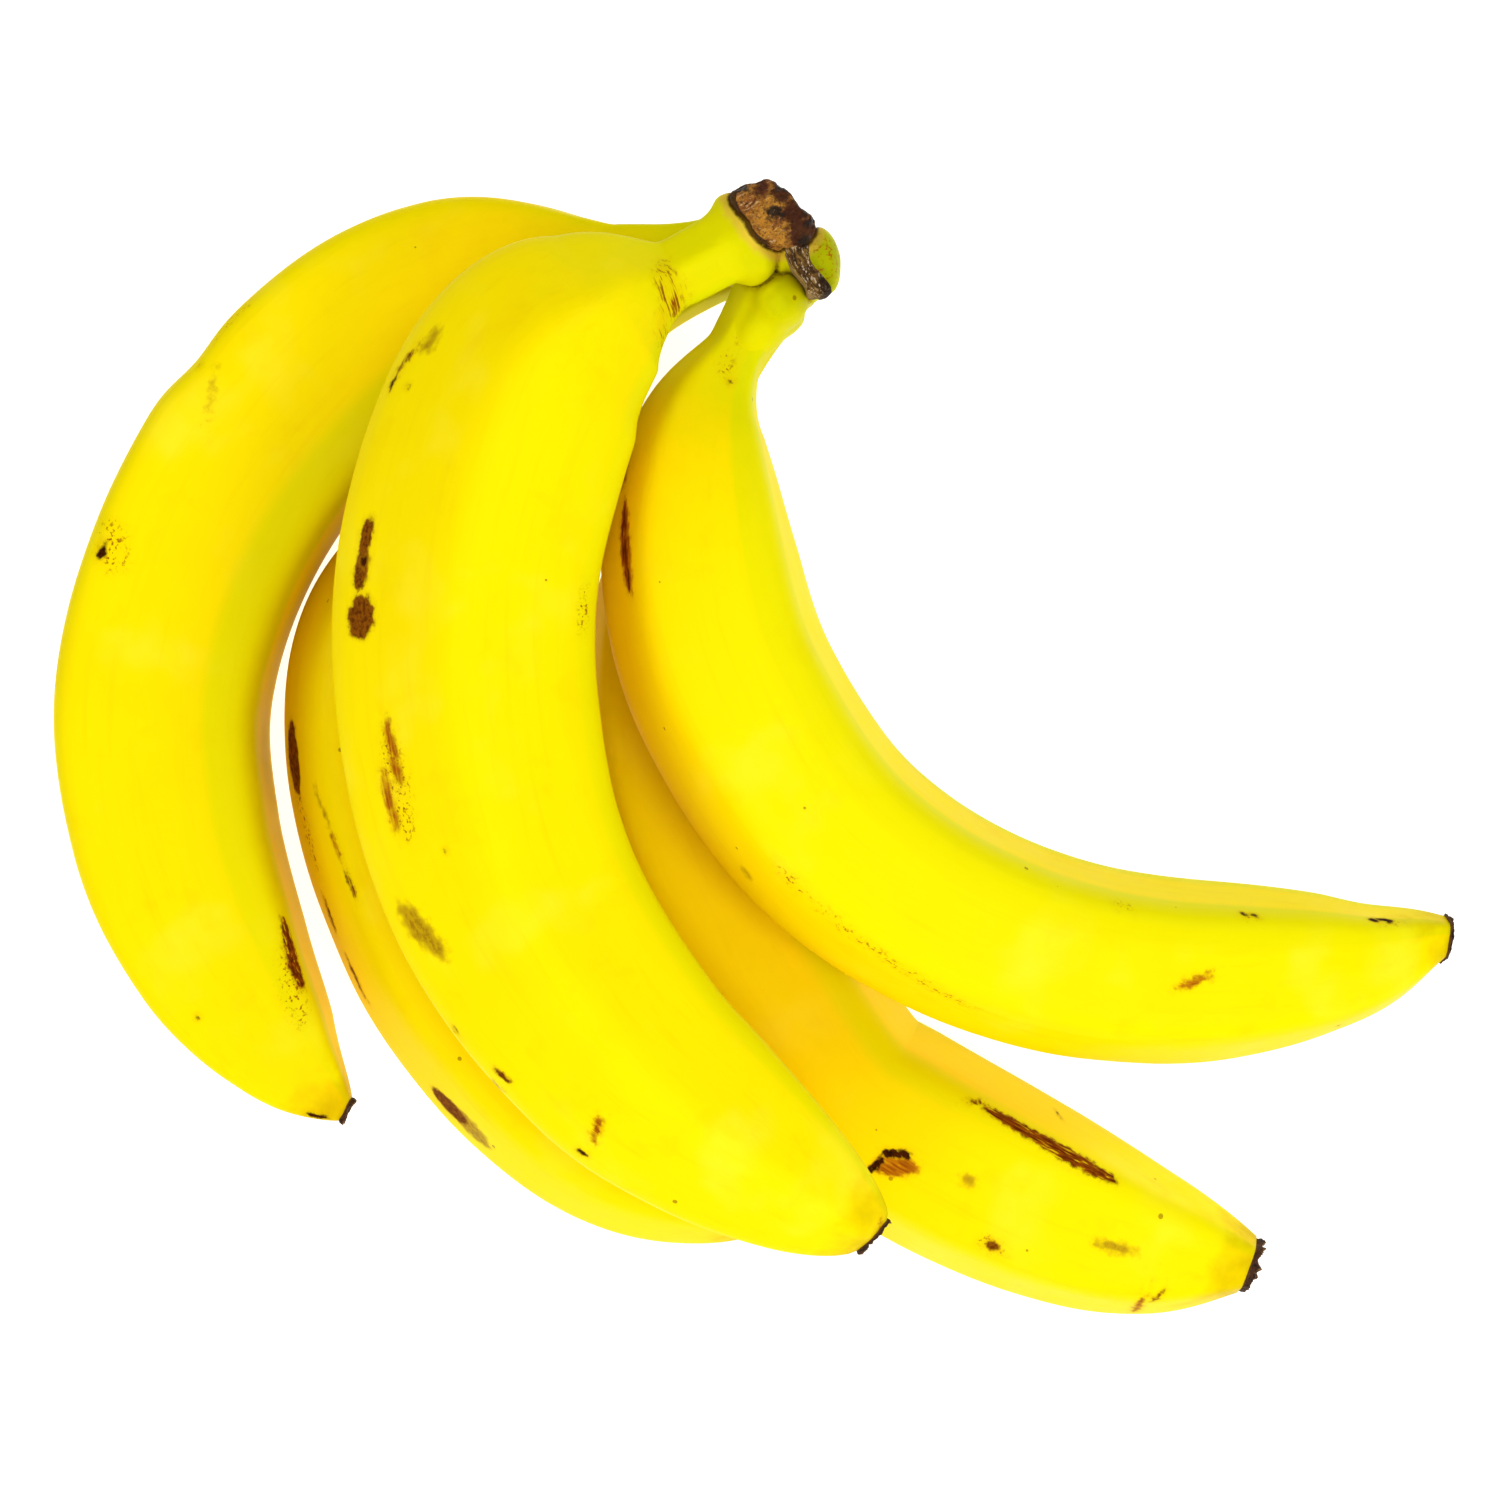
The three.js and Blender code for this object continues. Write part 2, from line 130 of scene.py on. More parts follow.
# Blemishes of a finger: kind, distance and direction as for a dent, length, width, and the turn of
# its length from the finger's own direction.
BLEMISHES = {
    "left": [
        ("freckles", 76, 135, 7, 1.5, -5), ("black", 84, 132, 0.7, 0.6, 0),
        ("stain", 86, 120, 4, 0.4, -30), ("freckles", 112, 125, 8, 5, -30),
        ("black", 113, 128, 3, 1.2, -10), ("streak", 182, 45, 14, 2.5, 5),
        ("freckles", 187, 52, 14, 4, 10), ("black", 183, 118, 0.8, 0.7, 0),
        ("black", 205, 130, 3, 0.8, 0)],
    "under_left": [
        ("bruise", 103, 168, 10, 4.5, -5), ("freckles", 112, 165, 14, 3, -5),
        ("stain", 110, 132, 6, 1, -25), ("smear", 116, 126, 4, 1, -10),
        ("streak", 122, 123, 4.5, 1, -5), ("streak", 125, 170, 6, 1, 10),
        ("streak", 135, 171, 7, 1.2, 0), ("bruise", 157, 162, 7.5, 4.5, -5),
        ("stain", 161, 160, 9, 5, 15)],
    "centre": [
        ("black", 2, 70, 0.7, 0.6, 0), ("black", 6, 72, 0.6, 0.5, 40),
        ("crack", 16, 62, 10, 4, -90), ("crack", 19, 40, 6, 3, -45), ("stain", 44, 144, 3, 2, 0),
        ("streak", 47, 151, 4.5, 0.8, 20), ("black", 50, 153, 2.6, 0.7, 0),
        ("black", 50, 144, 0.7, 0.6, 0), ("bruise", 70, 144, 5, 2.2, 5),
        ("bruise", 74, 144, 5.5, 2.3, 5), ("black", 73, 143, 1.4, 1.1, 0),
        ("bruise", 80, 142, 5.6, 4.6, 0), ("freckles", 77, 30, 10, 1.8, 0),
        ("smear", 98, 129, 9, 1.4, -5), ("smear", 104, 136, 8, 1.5, 0),
        ("freckles", 102, 130, 16, 5, 0), ("freckles", 119, 147, 4, 1, 0),
        ("stain", 121, 142, 9, 3.5, -25), ("black", 112, 112, 0.6, 0.5, 0),
        ("streak", 134, 156, 2, 0.7, 10), ("streak", 142, 150, 3, 1, -15),
        ("stain", 143, 160, 2.5, 1.2, -30), ("smear", 155, 132, 4.5, 1, 70),
        ("black", 156, 150, 1.6, 0.9, 0), ("smear", 199, 56, 2, 0.7, 40)],
    "under_right": [
        ("black", 151, 100, 5.5, 1.4, -25), ("black", 149, 112, 3.5, 1.3, -60),
        ("smear", 152, 106, 7, 3, -25), ("streak", 158, 52, 3.5, 0.8, -35),
        ("streak", 171, 52, 23, 2.4, 0), ("streak", 178, 54, 15, 2.6, 0),
        ("bruise", 171, 120, 2.3, 1.5, 0), ("freckles", 171, 120, 5, 3, 10),
        ("stain", 163, 93, 2, 1.6, 0), ("stain", 189, 95, 7, 1.5, -5),
        ("smear", 196, 150, 10, 1, -90), ("streak", 198, 128, 3.5, 0.7, -60),
        ("black", 173, 12, 2.5, 0.5, 55)],
    "right": [
        ("freckles", 7, 92, 7, 2, 0), ("freckles", 14, 86, 5, 2.4, -35),
        ("black", 16, 72, 0.9, 0.8, 0), ("smear", 31, 158, 5, 1, -10),
        ("smear", 42, 143, 13, 3.4, -10), ("streak", 42, 144, 12, 1.8, -10),
        ("stain", 88, 160, 1.6, 1, 0), ("freckles", 92, 125, 8, 2, 0),
        ("freckles", 100, 127, 11, 2, 5), ("freckles", 112, 132, 19, 2, 10),
        ("freckles", 138, 52, 4, 1.2, 5), ("smear", 152, 92, 6, 1.2, -20),
        ("black", 161, 49, 1.2, 1, 0), ("black", 163, 50, 1.3, 0.9, 30),
        ("freckles", 162, 50, 4, 2, 0), ("black", 185, 46, 2, 1.4, 40),
        ("black", 187, 44, 3.2, 1.2, 10), ("black", 188, 48, 1.8, 1.3, -30),
        ("freckles", 187, 47, 6, 2.5, 0), ("black", 178, 156, 1, 0.7, 60)],
}
BLEMISH_REACH = 6  # distance over which a blemish's field is stored round it
DAMAGE_EDGE = 0.5  # how far outside a blemish the peel still counts as damaged
HIDDEN_MARKS = 12  # marks drawn at random for the side that a finger lies on
HIDDEN_KINDS = ("stain", "freckles", "smear", "streak", "bruise", "black")
# The least and the most of their share of the way along, direction, length, width and turn
HIDDEN_RANGES = ((0.15, 0.92), (195, 345), (1, 9), (0.6, 2), (-20, 20))

# ---- Dried flower ends: a thin ragged crust round a hollow middle ----
# Shares of the tip's half-width and of the crust's thickness
CRUST_PROFILE = [(0, -1), (0.8, -1), (0.93, -0.5), (1, 0), (1.03, 0.5), (1, 0.9), (0.93, 1),
                 (0.82, 0.7), (0.6, 0.25), (0, 0.3)]
CRUST_THICKNESS = {"left": 0.6, "under_left": 1.1, "centre": 0.7, "under_right": 1.2, "right": 0.4}
CRUST_WAVES = ((2.4, 0.6), (0.8, 0.45), (0.35, 0.25))
CRUST_RAGGED = 0.12  # how much these waves move its outline, and its height
CRUST_CRUMPLED = 1.3
CRUST_LIFT = 0.1
CRUST_APART = 10  # moves each crust to another place in the waves, over the finger's girth

# ---- Crown: an upright pad that the necks grow out of ----
PAD = dict(x=4.6, y=77.3, bottom=9, top=55, half_length=9.9, half_width=4.4, turn=-49)
PAD_PROFILE = [(0, 0), (0.3, 0), (0.5, 0.01), (0.72, 0.12), (0.82, 0.4), (0.96, 0.75), (1, 0.9),
               (0.9, 0.985), (0.6, 1), (0, 1)]  # shares of the plan's size and of the height
PAD_SQUARENESS = 2.6
PAD_SLOPE = 12  # how steeply its upper end falls away towards the fingers, and from how far out
PAD_SLOPE_START = 0.4
ROOT_BEHIND = 6  # how far a neck's root starts behind the neck, and its size there over the neck's
ROOT_NARROWING = 0.4
ROOT_SLEEVE = 9  # how far it sleeves the neck, how thickly, and how far it sinks in at its end
ROOT_THICKNESS = 0.5
ROOT_SINKING = 1.3
ROOT_CLOSING = 0.05  # share of the root's faces that close each of its ends
COLLARS = {"left": 0.2, "under_left": 0.2, "centre": 1.2, "under_right": 0.3, "right": 0.3}
COLLAR_PLACE = 1.8  # how far along the neck its collar stands out most, and over what distance
COLLAR_REACH = 1.6
# The bodies that press against each other: whether the pad is part of it, the roots, and the
# swellings with their middle, half-sizes and turn
CROWN_BODIES = [
    (True, ("left", "under_left", "under_right"),
     [((11.1, 75.2, 49.8), (2.7, 5.5, 5.2), 8), ((4.9, 75.4, 46), (1.5, 2.6, 6), 0)]),
    (False, ("centre",), [((0.4, 75.4, 48.8), (4, 4.1, 5.6), 0)]),
    (False, ("right",),
     [((4.6, 69.6, 44.8), (4.4, 4.9, 6.6), -20), ((1.9, 66.3, 41.8), (4.1, 7.2, 6.2), -37)]),
]
GREEN_SPOT = np.array([11.4, 74.6, 53])  # where the crown is greenest, and how far that reaches
GREEN_SIZE = np.array([4, 7, 8])
GREEN_FRECKLED = 0.4  # how green the crown is where its freckles start
CROWN_VOXEL = 0.5
CROWN_SMOOTHING = 16  # rounds
CROWN_WAVES = ((7, 0.35), (2.2, 0.1))
CROWN_WAVES_END = 1 / 70  # share of a finger by which that unevenness is gone
NECK_REACH = 1.5  # how far from its middle line a neck's skin lies at most, over its half-width
SLEEVE_SHARE = 0.09  # share of a finger that the crown's skin reaches along at most

# ---- Dried cuts ----
# The outline seen from above, foot, top, bulge of the middle, unevenness, the side where the edge
# is a lower terrace and how low that is, and patches with their middle and radius
PLATE_PROFILE = [(0, 0), (0.9, 0), (1, 0.5), (1, 0.8), (0.97, 0.93), (0.9, 1), (0.75, 1), (0.6, 1),
                 (0.45, 1), (0.3, 1), (0.15, 1), (0, 1)]
SCAB = dict(
    outline=[(-1.4, 86), (1, 86.5), (3, 86.9), (5.8, 85), (7.7, 82.6), (10, 80.2), (8.7, 77),
             (6.1, 76.5), (2.7, 76.7), (0.3, 78.5), (-0.8, 80.5), (-2.3, 82.3), (-3, 84.6)],
    foot=47, top=56.4, bulge=0.5, waves=((3.4, 0.9), (1.3, 0.5), (0.5, 0.25)),
    terrace_side=200, terrace_from=0.85, terrace=0.3,
    charred=[(3.7, 81.6, 1.2), (4.6, 85.9, 0.7), (9.4, 80.6, 1.1), (-1, 85.3, 0.5),
             (8.4, 76.9, 0.8), (7.7, 83.2, 0.8)],
    rusty=[(8.2, 78.4, 2.6), (6.9, 82, 2.2), (4.8, 84.8, 1.9), (1.8, 85.6, 1.3)])
TORN_STRIP = dict(
    outline=[(5.2, 76.9), (7, 77.2), (8.9, 76.9), (9, 75.8), (9.5, 74.2), (10.9, 72.5),
             (12.4, 70.6), (12.1, 69.8), (10.5, 69.4), (8.9, 69.6), (8.4, 71), (7.3, 72.4),
             (6.4, 73.5), (5.6, 75)],
    foot=44, top=55.4, bulge=0.3, waves=((2.5, 0.4), (0.7, 0.4)),
    terrace_side=215, terrace_from=0.93, terrace=0.2,
    charred=[(11.8, 70.3, 1), (11, 71.5, 0.6)], rusty=[(9.6, 70.6, 1.3)])
PATCH_BLUR = 2.4  # distance over which a patch fades
TERRACE_RAMP = 0.05  # share of the plate's width over which it drops to its terrace
TERRACE_WIDTH = 1.6  # the larger, the further round the edge the terrace goes
ROUGH_FROM = 0.6  # share of a plate's height above which it is rough
PLATE_RAGGED = 0.05  # how much the waves move a plate's outline
SCAB_RINGS = (1, 0.93, 0.86, 0.79)  # shares of the scab's width; the skin's distance is to these
RING_STEP = 6  # every so many points of a ring
STALK_CUT = dict(length=15, height=36, thickness=2.6, squareness=4, sunk=1.4, roughness=0.6,
                 rough_from=0.5, waves=((6, 0.5), (1.5, 0.3), (0.5, 0.12)))
STALK_CUT_PROFILE = [(0, 0), (0.94, 0), (1, 0.3), (1, 0.7), (0.96, 0.95), (0.88, 1), (0.7, 0.9),
                     (0.5, 0.85), (0.25, 0.85), (0, 0.85)]


def linear(hex_colour):
    """An sRGB hex colour as linear RGBA."""
    channels = [int(hex_colour[i:i + 2], 16) / 255 for i in (1, 3, 5)]
    return [c / 12.92 if c <= 0.04045 else ((c + 0.055) / 1.055) ** 2.4 for c in channels] + [1.0]


# ---- Finger geometry ----
def middle_line(path):
    """Points of a Catmull-Rom curve through the path, and their distances along it."""
    points = np.array(path, float)
    ends = np.vstack([2 * points[0] - points[1], points, 2 * points[-1] - points[-2]])
    steps = np.linspace(0, len(points) - 1, MIDDLE_LINE_STEPS)
    i = np.minimum(steps.astype(int), len(points) - 2)
    w = (steps - i)[:, None]
    p0, p1, p2, p3 = (ends[i + k] for k in range(4))
    v0 = (p2 - p0) / 2
    v1 = (p3 - p1) / 2
    curve = (2 * p1 - 2 * p2 + v0 + v1) * w ** 3 + (3 * p2 - 3 * p1 - 2 * v0 - v1) * w ** 2
    curve += v0 * w + p1
    return curve, np.r_[0, np.cumsum(np.linalg.norm(np.diff(curve, axis=0), axis=1))]


def frames_along(path, along):
    """Middle points, unit vectors (forward, to the inner side, up) and the whole length."""
    curve, lengths = middle_line(path)
    total = lengths[-1]

    def at(share):
        return np.stack([np.interp(share * total, lengths, curve[:, k]) for k in range(3)], 1)

    forward = at(np.clip(along + NUDGE, 0, 1)) - at(np.clip(along - NUDGE, 0, 1))
    forward /= np.linalg.norm(forward, axis=1)[:, None]
    inner = np.cross([0, 0, 1], forward)
    inner /= np.linalg.norm(inner, axis=1)[:, None]
    return at(np.clip(along, 0, 1)), forward, inner, np.cross(forward, inner), total


def half_width(finger, along):
    """Slim neck that flares at the crown, shoulder, full girth and taper to the tip."""
    flare = 1 + finger["flare"] * np.exp(-along / NECK_FLARE_LENGTH)
    past = np.maximum(0, (along - finger["neck_end"]) / finger["shoulder"])
    swell = 1 - np.exp(-past ** SHOULDER_SWELL)
    end = finger["tip"] / finger["girth"]
    taper = end + (1 - end) * (1 - along ** finger["blunt"]) ** finger["rounding"]
    lean = 1 + finger["lean"] * (along - 0.5)
    return (finger["neck"] * flare + (finger["girth"] - finger["neck"]) * swell) * taper * lean


def faced_outline(finger, along, angle):
    """Five faces that meet in rounded ridges, over the half-width."""
    total = 0
    for face in finger["faces"]:
        facing = np.cos(angle - np.radians(face + finger["twist"] * along))
        total = total + np.maximum(0, facing) ** RIDGE_SHARPNESS
    return FACE_DEPTH * total ** (-1 / RIDGE_SHARPNESS)


def slanted(finger, along, angle, reach):
    """How far forward a point moves where the tip is cut off at a slant."""
    return finger["slant"] * reach * np.cos(angle) * along ** SLANT_GROWTH


def spoke(angle, inner, up):
    """Unit vectors out of the middle line, in directions from the inner side towards up."""
    return np.cos(angle)[:, None] * inner + np.sin(angle)[:, None] * up


def wrapped_grid(name, around, steps, place):
    """A grid whose every point is moved to place(turn, step); both run from 0 to 1."""
    bm = bmesh.new()
    bm.loops.layers.uv.new("UVMap")
    bmesh.ops.create_grid(bm, x_segments=around, y_segments=steps, size=0.5, calc_uvs=True)
    flat = np.array([v.co for v in bm.verts])
    points = place(flat[:, 0] + 0.5, flat[:, 1] + 0.5)
    for vert, co in zip(bm.verts, np.clip((points + CENTRING) * MM, *cad_bounds)):
        vert.co = co
    mesh = bpy.data.meshes.new(name)
    bm.to_mesh(mesh)
    bm.free()
    return mesh


def store(mesh, name, values):
    """A number or a vector for each point, which the materials read."""
    values = np.ascontiguousarray(values, np.float32)
    kind, key = ("FLOAT_VECTOR", "vector") if values.ndim == 2 else ("FLOAT", "value")
    mesh.attributes.new(name, kind, "POINT").data.foreach_set(key, values.ravel())


def weld(mesh):
    """Closes seams and poles, and turns every face outwards."""
    bm = bmesh.new()
    bm.from_mesh(mesh)
    bmesh.ops.remove_doubles(bm, verts=bm.verts, dist=1e-6)
    bmesh.ops.recalc_face_normals(bm, faces=bm.faces)
    for face in bm.faces:
        face.smooth = True
    bm.to_mesh(mesh)
    bm.free()


def unevenness(places, waves):
    """A smooth random height at each place, summed over waves of a size and a height."""
    return np.array([sum(height * noise.noise(Vector(place) / size) for size, height in waves)
                     for place in places])


def on_skin(travelled, angle, reach, place, direction):
    """Distances ahead of a place on the skin and aside from it, the second round the finger."""
    turned = (angle - np.radians(direction) + np.pi) % (2 * np.pi) - np.pi
    return travelled - place, turned * reach


def dented(name, travelled, angle, reach):
    """How far the skin is pressed in."""
    depth = np.zeros(len(reach))
    for place, direction, length, width, deepest in DENTS[name]:
        ahead, aside = on_skin(travelled, angle, reach, place, direction)
        depth += deepest * np.exp(-(ahead / length) ** 2 - (aside / width) ** 2)
    return depth


def blemish_fields(marks, travelled, angle, reach):
    """For each kind of blemish, the distance outside the nearest one, negative inside it."""
    fields = {kind: np.full(len(travelled), float(BLEMISH_REACH)) for kind in BLEMISH_LOOKS}
    for kind, place, direction, length, width, turn in marks:
        ahead, aside = on_skin(travelled, angle, reach, place, direction)
        cos, sin = np.cos(np.radians(turn)), np.sin(np.radians(turn))
        u = (ahead * cos + aside * sin) / (length / 2)
        v = (aside * cos - ahead * sin) / (width / 2)
        out = np.hypot(u, v)
        slope = np.hypot(u / (length / 2), v / (width / 2))
        distance = out * (out - 1) / np.maximum(slope, 1e-6)
        fields[kind] = np.minimum(fields[kind], distance)
    return fields


def room_beside(name, places):
    """How much room there is between each place and the other fingers."""
    rooms = []
    for other in FINGERS.values():
        if other is not FINGERS[name]:
            along = np.linspace(0, 1, PAINTED_SHADE_STEPS)
            centres = frames_along(other["path"], along)[0]
            away = np.linalg.norm(places[:, None] - centres, axis=2) - half_width(other, along)
            rooms.append(away.min(axis=1))
    return np.clip(np.min(rooms, axis=0), 0, PAINTED_SHADE_REACH)


def hidden_marks(length, draw):
    """Marks at random places on the side that a finger lies on."""
    marks = []
    for _ in range(HIDDEN_MARKS):
        kind = draw.choice(HIDDEN_KINDS)
        share, *rest = [draw.uniform(*span) for span in HIDDEN_RANGES]
        marks.append((kind, share * length, *rest))
    return marks


def finger_mesh(name, draw):
    """A grid wrapped round the middle line, closed at both ends and down its seam."""
    finger = FINGERS[name]
    points = {}

    def place(turn, step):
        angle = 2 * np.pi * turn - np.pi / 2
        row = step * ALONG
        along = np.clip((row - END_ROWS) / (ALONG - 2 * END_ROWS), 0, 1)
        closing = np.clip(np.minimum(row, ALONG - row) / END_ROWS, 0, 1) * np.pi / 2
        centre, forward, inner, up, length = frames_along(finger["path"], along)
        reach = half_width(finger, along) * faced_outline(finger, along, angle)
        straight = np.stack([reach * np.cos(angle), reach * np.sin(angle), along * length], 1)
        uneven = unevenness(straight, WAVES) - PEEL_SINKING
        uneven -= dented(name, along * length, angle, reach)
        across = (reach + uneven * np.minimum(1, reach / WAVES_FULL)) * np.sin(closing)
        bulge = np.sign(row - ALONG / 2) * np.cos(closing) * END_BULGE * reach
        ahead = bulge + slanted(finger, along, angle, across)
        spot = centre + forward * ahead[:, None] + spoke(angle, inner, up) * across[:, None]
        spot[:, 2] = np.maximum(0, spot[:, 2])
        points.update(along=along, angle=angle, straight=straight, reach=reach, length=length,
                      room=room_beside(name, spot),
                      ridge=faced_outline(finger, along, angle) / FACE_DEPTH - 1)
        return spot

    mesh = wrapped_grid(f"banana_{name}", AROUND, ALONG, place)
    store(mesh, "along", points["along"])
    green_side = np.clip(np.cos(points["angle"] - RIDGE_GREENEST), RIDGE_GREEN_LEAST, 1)
    store(mesh, "ridge", points["ridge"] * RIDGE_GREEN[name] * green_side)
    store(mesh, "room", points["room"])
    store(mesh, "unbent", points["straight"] * MM)
    length = points["length"]
    marks = BLEMISHES[name] + hidden_marks(length, draw)
    fields = blemish_fields(marks, points["along"] * length, points["angle"], points["reach"])
    for kind, field in fields.items():
        store(mesh, kind, field)
    nearest = np.min([field for kind, field in fields.items() if kind != "stain"], axis=0)
    store(mesh, "damage", np.clip(DAMAGE_EDGE - nearest, 0, 1))
    weld(mesh)
    return mesh


def stations(profile, steps):
    """A profile's two numbers at each step, with the steps spread evenly over its points."""
    profile = np.array(profile, float)
    at = steps * (len(profile) - 1)
    return [np.interp(at, np.arange(len(profile)), profile[:, k]) for k in range(2)]


def crust_mesh(name):
    """A dried flower end: a thin crust with a ragged rim round a hollow middle."""
    finger = FINGERS[name]
    rims = {}

    def place(turn, step):
        angle = 2 * np.pi * turn
        share, rise = stations(CRUST_PROFILE, step)
        ends = np.ones(len(step))
        centre, forward, inner, up, _ = frames_along(finger["path"], ends)
        reach = finger["tip"] * share * faced_outline(finger, ends, angle)
        flat = np.stack([reach * np.cos(angle), reach * np.sin(angle), rise], 1)
        bumps = unevenness(flat + finger["girth"] * CRUST_APART, CRUST_WAVES)
        reach = reach * (1 + CRUST_RAGGED * bumps * share)
        crumpled = 1 + CRUST_CRUMPLED * bumps * np.clip(rise, 0, 1)
        height = CRUST_THICKNESS[name] * rise * crumpled
        height = height + CRUST_LIFT + slanted(finger, ends, angle, reach)
        rims["rim"] = np.clip(rise, 0, 1)
        return centre + forward * height[:, None] + spoke(angle, inner, up) * reach[:, None]

    mesh = wrapped_grid(f"flower_end_{name}", 96, 63, place)
    store(mesh, "rim", rims["rim"])
    weld(mesh)
    return mesh


# ---- Crown geometry ----
def pad_mesh():
    """The crown's pad: a flattened column with rounded ends."""
    def place(turn, step):
        angle = 2 * np.pi * turn
        share, rise = stations(PAD_PROFILE, step)
        square = (abs(np.cos(angle)) ** PAD_SQUARENESS
                  + abs(np.sin(angle)) ** PAD_SQUARENESS) ** (-1 / PAD_SQUARENESS)
        u = share * square * np.cos(angle) * PAD["half_length"]
        v = share * square * np.sin(angle) * PAD["half_width"]
        height = PAD["bottom"] + rise * (PAD["top"] - PAD["bottom"])
        sloped = PAD["top"] - PAD_SLOPE * np.maximum(0, -v - PAD_SLOPE_START)
        return on_pad(u, v, np.minimum(height, sloped))

    mesh = wrapped_grid("pad", 60, 60, place)
    weld(mesh)
    return mesh


def on_pad(u, v, height):
    """A point from its distances along the pad and out of it, and its height."""
    turn = np.radians(PAD["turn"])
    return np.stack([PAD["x"] + u * np.cos(turn) - v * np.sin(turn),
                     PAD["y"] + u * np.sin(turn) + v * np.cos(turn), height], 1)


def root_mesh(name):
    """A neck's root: it swells out of the pad into a collar and sleeves the neck."""
    finger = FINGERS[name]

    def place(turn, step):
        angle = 2 * np.pi * turn
        from_end = np.clip(np.minimum(step, 1 - step) / ROOT_CLOSING, 0, 1)
        inside = np.clip((step - ROOT_CLOSING) / (1 - 2 * ROOT_CLOSING), 0, 1)
        travelled = inside * (ROOT_BEHIND + ROOT_SLEEVE) - ROOT_BEHIND
        length = middle_line(finger["path"])[1][-1]
        along = np.clip(travelled / length, 0, 1)
        centre, forward, inner, up, _ = frames_along(finger["path"], along)
        sleeve = ROOT_THICKNESS * (1 - ROOT_SINKING * np.maximum(0, travelled) / ROOT_SLEEVE)
        collar = COLLARS[name] * np.exp(-((travelled - COLLAR_PLACE) / COLLAR_REACH) ** 2)
        reach = half_width(finger, along) * faced_outline(finger, along, angle) + sleeve + collar
        behind = np.minimum(0, travelled)
        reach = reach * (1 + (1 - ROOT_NARROWING) * behind / ROOT_BEHIND) * from_end
        return centre + forward * behind[:, None] + spoke(angle, inner, up) * reach[:, None]

    mesh = wrapped_grid("root", 48, 60, place)
    weld(mesh)
    return mesh


def grown_together(meshes, swellings):
    """One smooth body out of several closed meshes and ellipsoids that overlap."""
    bm = bmesh.new()
    for mesh in meshes:
        bm.from_mesh(mesh)
        bpy.data.meshes.remove(mesh)
    for middle, sizes, turn in swellings:
        place = (Matrix.Translation((np.array(middle) + CENTRING) * MM)
                 @ Matrix.Rotation(np.radians(turn), 4, "Z")
                 @ Matrix.Diagonal((*(np.array(sizes) * MM), 1)))
        bmesh.ops.create_icosphere(bm, subdivisions=4, radius=1, matrix=place)
    rough = bpy.data.meshes.new("rough_body")
    bm.to_mesh(rough)
    bm.free()
    body = bpy.data.objects.new("rough_body", rough)
    bpy.context.scene.collection.objects.link(body)
    remesh = body.modifiers.new("grown_together", "REMESH")
    remesh.mode = "VOXEL"
    remesh.voxel_size = CROWN_VOXEL * MM
    smooth = body.modifiers.new("rounded", "SMOOTH")
    smooth.factor = 0.5
    smooth.iterations = CROWN_SMOOTHING
    evaluated = body.evaluated_get(bpy.context.evaluated_depsgraph_get())
    mesh = bpy.data.meshes.new_from_object(evaluated)
    bpy.data.objects.remove(body)
    bpy.data.meshes.remove(rough)
    return mesh


def points_of(mesh, what="co"):
    """The mesh's points, in mm, or its normals."""
    values = np.empty(len(mesh.vertices) * 3)
    mesh.vertices.foreach_get(what, values)
    return values.reshape(-1, 3) / (MM if what == "co" else 1)


def pressed_together(meshes):
    """One closed mesh out of bodies that overlap, with a sharp crease where they meet."""
    bodies = [bpy.data.objects.new("body", mesh) for mesh in meshes]
    for body in bodies:
        bpy.context.scene.collection.objects.link(body)
    for body in bodies[1:]:
        union = bodies[0].modifiers.new("pressed_together", "BOOLEAN")
        union.operation = "UNION"
        union.solver = "MANIFOLD"
        union.object = body
    evaluated = bodies[0].evaluated_get(bpy.context.evaluated_depsgraph_get())
    mesh = bpy.data.meshes.new_from_object(evaluated)
    mesh.materials.clear()
    for body in bodies:
        bpy.data.objects.remove(body)
    return mesh


def gaps_between(meshes, places):
    """At each place on one of the meshes, the distance to the next nearest of them."""
    distances = []
    for mesh in meshes:
        points = points_of(mesh)
        tree = KDTree(len(points))
        for i, point in enumerate(points):
            tree.insert(point, i)
        tree.balance()
        distances.append([tree.find(place)[2] for place in places])
    return np.sort(distances, axis=0)[1]


def crown_mesh():
    """The pad and the bulbs at its upper end, which press against each other along creases."""
    bodies = []
    for with_pad, roots, swellings in CROWN_BODIES:
        parts = [root_mesh(name) for name in roots] + ([pad_mesh()] if with_pad else [])
        bodies.append(grown_together(parts, swellings))
    mesh = pressed_together(bodies)
    dress_crown(mesh, gaps_between(bodies, points_of(mesh)))
    for body in bodies:
        bpy.data.meshes.remove(body)
    mesh.name = "crown_body"
    weld(mesh)
    return mesh


